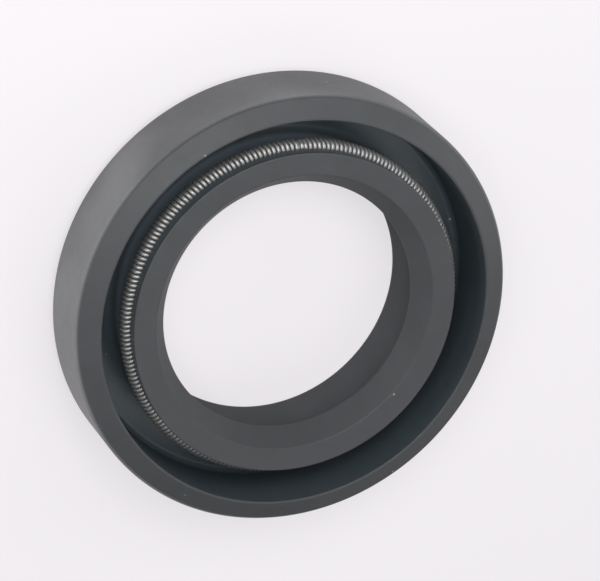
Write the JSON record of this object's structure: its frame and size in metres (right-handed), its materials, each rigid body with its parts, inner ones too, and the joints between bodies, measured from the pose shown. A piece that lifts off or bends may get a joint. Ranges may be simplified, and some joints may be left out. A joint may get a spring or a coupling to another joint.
{
  "type": "radial shaft seal",
  "caption": "Rubber-covered radial shaft seal ring with a sprung sealing lip, a dust lip and a stiffening ring moulded in.",
  "frame": {"origin": "centre of the seal's air-side face, on the seal's axis, where it stands on a surface", "axes": "+Z along the seal's axis, from the air side to the oil side, where the garter spring shows; X and Y are any two radial directions"},
  "size_m": [0.0472, 0.0472, 0.01],
  "materials": {
    "rubber": "satin moulded nitrile rubber",
    "ring_steel": "phosphated sheet steel",
    "spring_wire": "bright drawn spring wire"
  },
  "bodies": {
    "root": {"seal_body": "rubber", "stiffening_ring": "ring_steel", "garter_spring": "spring_wire"}
  },
  "joints": []
}
